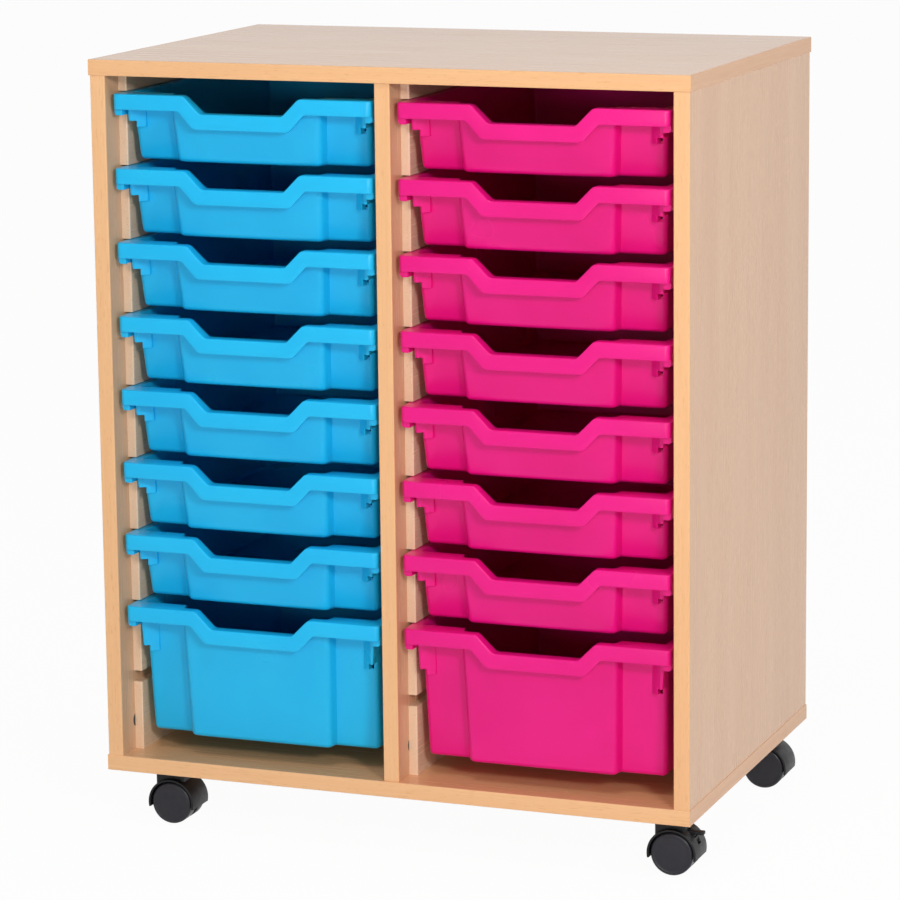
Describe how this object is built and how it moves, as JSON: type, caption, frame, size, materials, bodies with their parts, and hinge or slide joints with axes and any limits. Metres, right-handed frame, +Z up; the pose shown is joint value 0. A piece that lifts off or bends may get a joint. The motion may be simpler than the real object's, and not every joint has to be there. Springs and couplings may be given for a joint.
{
  "type": "mobile classroom tray storage unit",
  "caption": "Mobile classroom storage unit: beech-faced case with two columns of slide-out plastic trays on runners, shallow above deep, on swivel castors.",
  "frame": {"origin": "on the floor, under the middle of the case in plan", "axes": "+Z up, -Y the open front with the trays, +X to the right seen from the front"},
  "size_m": [0.704, 0.469, 0.89],
  "materials": {
    "beech_board": "melamine-faced chipboard, beech pattern, satin",
    "beech_edging": "2 mm plastic edging, beech pattern, satin",
    "runner_rail": "beech-faced rail, satin",
    "dowel_wood": "plain wood",
    "blue_tray": "moulded polypropylene, light blue, semi-gloss",
    "magenta_tray": "moulded polypropylene, magenta, semi-gloss",
    "hood_plastic": "moulded nylon, black, satin",
    "wheel_plastic": "moulded nylon, dark grey, satin",
    "black_steel": "pressed steel, black",
    "black_screw": "steel, black",
    "zinc": "zinc-plated steel"
  },
  "bodies": {
    "cabinet": {"top_panel": "beech_board", "base_panel": "beech_board", "left_side_panel": "beech_board", "right_side_panel": "beech_board", "centre_divider": "beech_board", "back_panel": "beech_board", "top_edging": "beech_edging", "base_edging": "beech_edging", "left_side_edging": "beech_edging", "right_side_edging": "beech_edging", "divider_edging": "beech_edging", "left_side_runners": "runner_rail", "divider_left_runners": "runner_rail", "divider_right_runners": "runner_rail", "right_side_runners": "runner_rail", "cam_fittings": "zinc", "cam_bolts": "zinc", "case_dowels": "dowel_wood", "back_panel_screws": "zinc", "castor_screws": "black_screw", "castor_kingpins": "zinc", "front_left_castor_plate": "black_steel", "front_right_castor_plate": "black_steel", "rear_left_castor_plate": "black_steel", "rear_right_castor_plate": "black_steel"},
    "left_tray_1": {"left_tray_1": "blue_tray"},
    "left_tray_2": {"left_tray_2": "blue_tray"},
    "left_tray_3": {"left_tray_3": "blue_tray"},
    "left_tray_4": {"left_tray_4": "blue_tray"},
    "left_tray_5": {"left_tray_5": "blue_tray"},
    "left_tray_6": {"left_tray_6": "blue_tray"},
    "left_tray_7": {"left_tray_7": "blue_tray"},
    "left_tray_8": {"left_tray_8": "blue_tray"},
    "right_tray_1": {"right_tray_1": "magenta_tray"},
    "right_tray_2": {"right_tray_2": "magenta_tray"},
    "right_tray_3": {"right_tray_3": "magenta_tray"},
    "right_tray_4": {"right_tray_4": "magenta_tray"},
    "right_tray_5": {"right_tray_5": "magenta_tray"},
    "right_tray_6": {"right_tray_6": "magenta_tray"},
    "right_tray_7": {"right_tray_7": "magenta_tray"},
    "right_tray_8": {"right_tray_8": "magenta_tray"},
    "front_left_castor": {"front_left_castor_hood": "hood_plastic", "front_left_castor_axle": "zinc"},
    "front_left_front_wheel": {"front_left_front_wheel": "wheel_plastic"},
    "front_left_back_wheel": {"front_left_back_wheel": "wheel_plastic"},
    "front_right_castor": {"front_right_castor_hood": "hood_plastic", "front_right_castor_axle": "zinc"},
    "front_right_front_wheel": {"front_right_front_wheel": "wheel_plastic"},
    "front_right_back_wheel": {"front_right_back_wheel": "wheel_plastic"},
    "front_right_brake_pedal": {"front_right_brake_pedal": "hood_plastic"},
    "rear_left_castor": {"rear_left_castor_hood": "hood_plastic", "rear_left_castor_axle": "zinc"},
    "rear_left_front_wheel": {"rear_left_front_wheel": "wheel_plastic"},
    "rear_left_back_wheel": {"rear_left_back_wheel": "wheel_plastic"},
    "rear_left_brake_pedal": {"rear_left_brake_pedal": "hood_plastic"},
    "rear_right_castor": {"rear_right_castor_hood": "hood_plastic", "rear_right_castor_axle": "zinc"},
    "rear_right_front_wheel": {"rear_right_front_wheel": "wheel_plastic"},
    "rear_right_back_wheel": {"rear_right_back_wheel": "wheel_plastic"}
  },
  "joints": [
    {"name": "left_tray_1_slide", "type": "slide", "parent": "cabinet", "child": "left_tray_1", "axis": [0, -1, 0], "range_m": [0, 0.45]},
    {"name": "left_tray_2_slide", "type": "slide", "parent": "cabinet", "child": "left_tray_2", "axis": [0, -1, 0], "range_m": [0, 0.45]},
    {"name": "left_tray_3_slide", "type": "slide", "parent": "cabinet", "child": "left_tray_3", "axis": [0, -1, 0], "range_m": [0, 0.45]},
    {"name": "left_tray_4_slide", "type": "slide", "parent": "cabinet", "child": "left_tray_4", "axis": [0, -1, 0], "range_m": [0, 0.45]},
    {"name": "left_tray_5_slide", "type": "slide", "parent": "cabinet", "child": "left_tray_5", "axis": [0, -1, 0], "range_m": [0, 0.45]},
    {"name": "left_tray_6_slide", "type": "slide", "parent": "cabinet", "child": "left_tray_6", "axis": [0, -1, 0], "range_m": [0, 0.45]},
    {"name": "left_tray_7_slide", "type": "slide", "parent": "cabinet", "child": "left_tray_7", "axis": [0, -1, 0], "range_m": [0, 0.45]},
    {"name": "left_tray_8_slide", "type": "slide", "parent": "cabinet", "child": "left_tray_8", "axis": [0, -1, 0], "range_m": [0, 0.45]},
    {"name": "right_tray_1_slide", "type": "slide", "parent": "cabinet", "child": "right_tray_1", "axis": [0, -1, 0], "range_m": [0, 0.45]},
    {"name": "right_tray_2_slide", "type": "slide", "parent": "cabinet", "child": "right_tray_2", "axis": [0, -1, 0], "range_m": [0, 0.45]},
    {"name": "right_tray_3_slide", "type": "slide", "parent": "cabinet", "child": "right_tray_3", "axis": [0, -1, 0], "range_m": [0, 0.45]},
    {"name": "right_tray_4_slide", "type": "slide", "parent": "cabinet", "child": "right_tray_4", "axis": [0, -1, 0], "range_m": [0, 0.45]},
    {"name": "right_tray_5_slide", "type": "slide", "parent": "cabinet", "child": "right_tray_5", "axis": [0, -1, 0], "range_m": [0, 0.45]},
    {"name": "right_tray_6_slide", "type": "slide", "parent": "cabinet", "child": "right_tray_6", "axis": [0, -1, 0], "range_m": [0, 0.45]},
    {"name": "right_tray_7_slide", "type": "slide", "parent": "cabinet", "child": "right_tray_7", "axis": [0, -1, 0], "range_m": [0, 0.45]},
    {"name": "right_tray_8_slide", "type": "slide", "parent": "cabinet", "child": "right_tray_8", "axis": [0, -1, 0], "range_m": [0, 0.45]},
    {"name": "front_left_swivel", "type": "hinge", "parent": "cabinet", "child": "front_left_castor", "pos_m": [-0.304, -0.1795, 0.0665], "axis": [0, 0, 1], "continuous": true},
    {"name": "front_left_front_wheel_spin", "type": "hinge", "parent": "front_left_castor", "child": "front_left_front_wheel", "pos_m": [-0.289, -0.1795, 0.0245], "axis": [0, 1, 0], "continuous": true},
    {"name": "front_left_back_wheel_spin", "type": "hinge", "parent": "front_left_castor", "child": "front_left_back_wheel", "pos_m": [-0.289, -0.1795, 0.0245], "axis": [0, 1, 0], "continuous": true},
    {"name": "front_right_swivel", "type": "hinge", "parent": "cabinet", "child": "front_right_castor", "pos_m": [0.304, -0.1795, 0.0665], "axis": [0, 0, 1], "continuous": true},
    {"name": "front_right_front_wheel_spin", "type": "hinge", "parent": "front_right_castor", "child": "front_right_front_wheel", "pos_m": [0.319, -0.1795, 0.0245], "axis": [0, 1, 0], "continuous": true},
    {"name": "front_right_back_wheel_spin", "type": "hinge", "parent": "front_right_castor", "child": "front_right_back_wheel", "pos_m": [0.319, -0.1795, 0.0245], "axis": [0, 1, 0], "continuous": true},
    {"name": "front_right_brake", "type": "hinge", "parent": "front_right_castor", "child": "front_right_brake_pedal", "pos_m": [0.3285, -0.1795, 0.0535], "axis": [0, 1, 0], "range_deg": [0, 5]},
    {"name": "rear_left_swivel", "type": "hinge", "parent": "cabinet", "child": "rear_left_castor", "pos_m": [-0.304, 0.1795, 0.0665], "axis": [0, 0, 1], "continuous": true},
    {"name": "rear_left_front_wheel_spin", "type": "hinge", "parent": "rear_left_castor", "child": "rear_left_front_wheel", "pos_m": [-0.289, 0.1795, 0.0245], "axis": [0, 1, 0], "continuous": true},
    {"name": "rear_left_back_wheel_spin", "type": "hinge", "parent": "rear_left_castor", "child": "rear_left_back_wheel", "pos_m": [-0.289, 0.1795, 0.0245], "axis": [0, 1, 0], "continuous": true},
    {"name": "rear_left_brake", "type": "hinge", "parent": "rear_left_castor", "child": "rear_left_brake_pedal", "pos_m": [-0.2795, 0.1795, 0.0535], "axis": [0, 1, 0], "range_deg": [0, 5]},
    {"name": "rear_right_swivel", "type": "hinge", "parent": "cabinet", "child": "rear_right_castor", "pos_m": [0.304, 0.1795, 0.0665], "axis": [0, 0, 1], "continuous": true},
    {"name": "rear_right_front_wheel_spin", "type": "hinge", "parent": "rear_right_castor", "child": "rear_right_front_wheel", "pos_m": [0.319, 0.1795, 0.0245], "axis": [0, 1, 0], "continuous": true},
    {"name": "rear_right_back_wheel_spin", "type": "hinge", "parent": "rear_right_castor", "child": "rear_right_back_wheel", "pos_m": [0.319, 0.1795, 0.0245], "axis": [0, 1, 0], "continuous": true}
  ]
}
